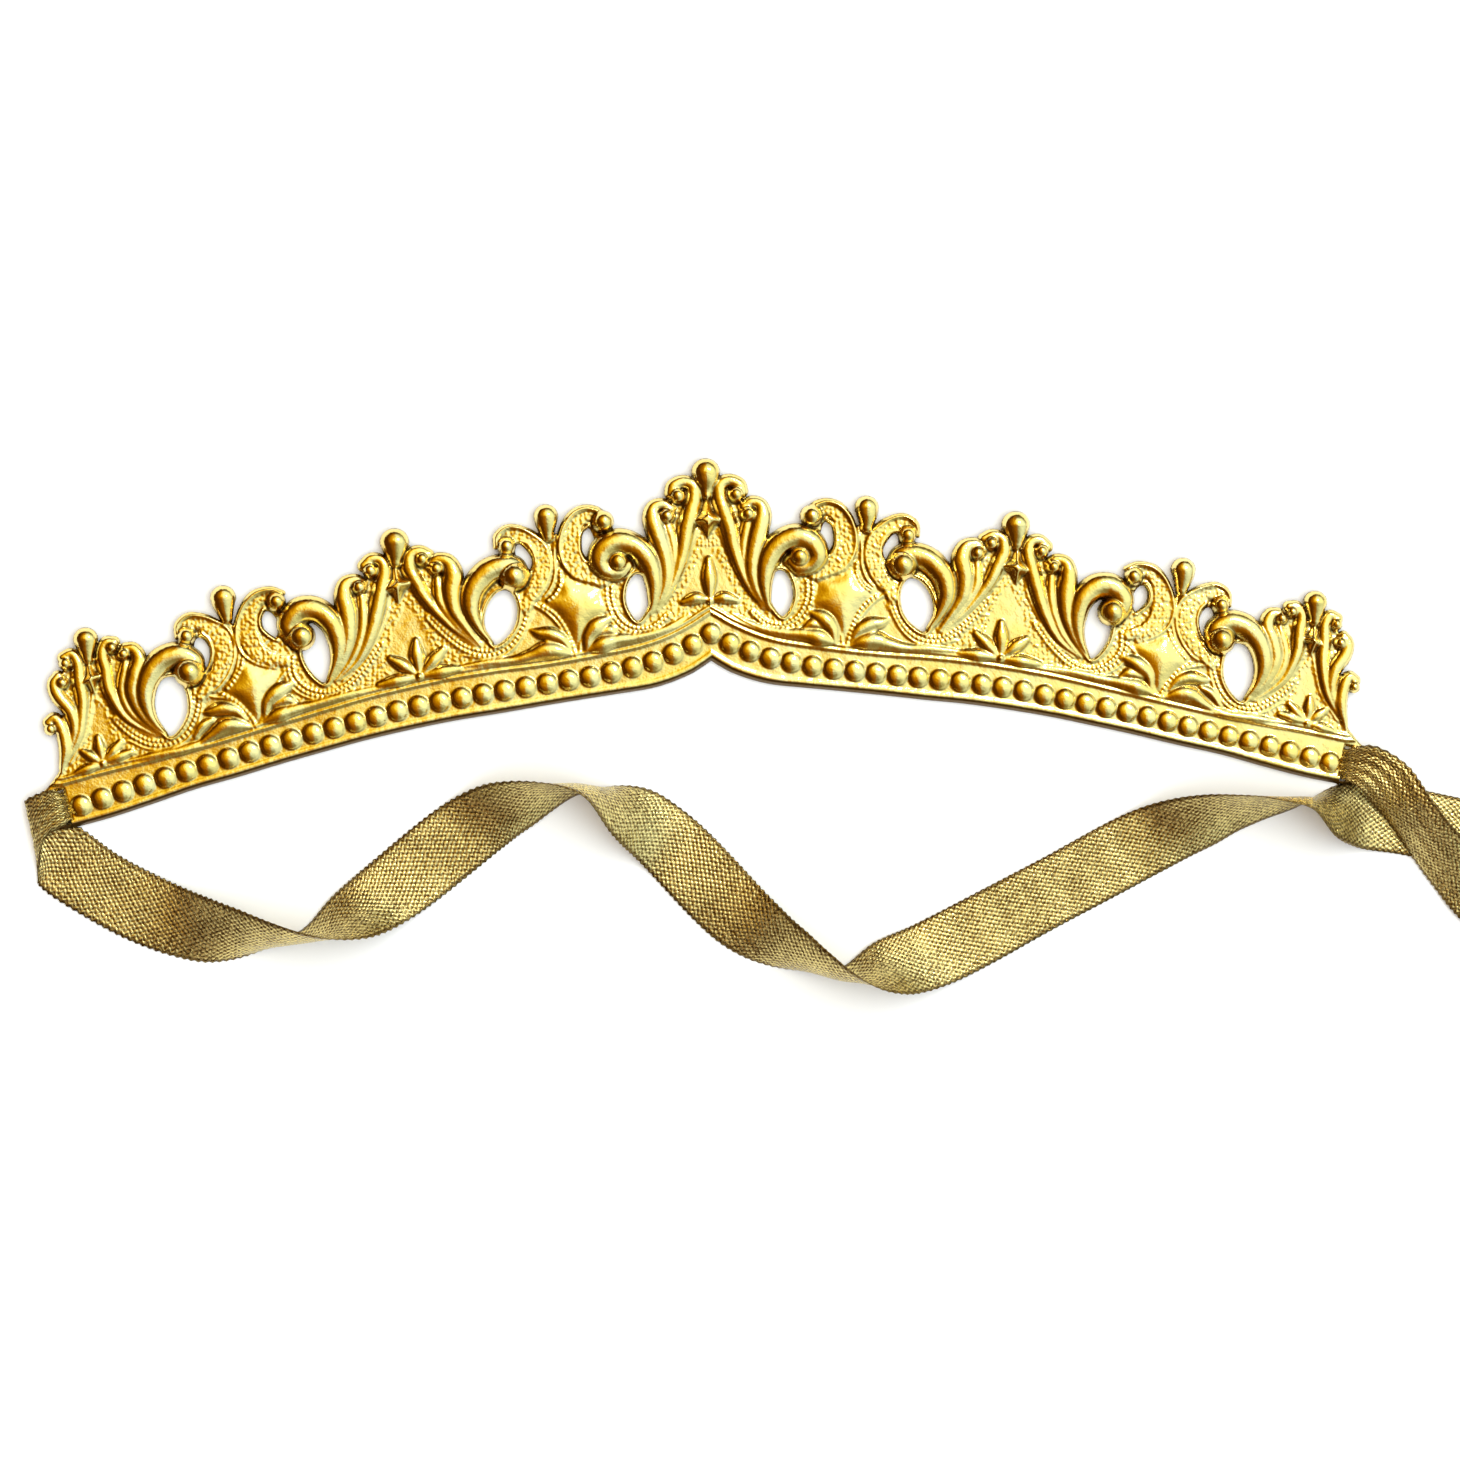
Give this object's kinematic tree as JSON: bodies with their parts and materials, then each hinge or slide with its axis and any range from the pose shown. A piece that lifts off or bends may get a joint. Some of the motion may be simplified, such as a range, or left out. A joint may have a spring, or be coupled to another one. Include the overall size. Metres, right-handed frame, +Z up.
{
  "type": "crown",
  "caption": "Embossed gold foil crown with scrollwork, a beaded lower band and a pointed arch, tied on with a gold ribbon at each end.",
  "frame": {"origin": "on the table, under the turned-down rim at the notch below the peak", "axes": "+X along the crown to its right end, +Y from the band to the peak, +Z up from the table out of the embossed face"},
  "size_m": [0.4033, 0.2393, 0.0165],
  "materials": {
    "gold_foil": "embossed metallic gold foil on thin card",
    "gold_ribbon": "woven metallic ribbon"
  },
  "bodies": {
    "root": {"crown_sheet": "gold_foil", "left_tie": "gold_ribbon", "right_tie": "gold_ribbon"}
  },
  "joints": []
}
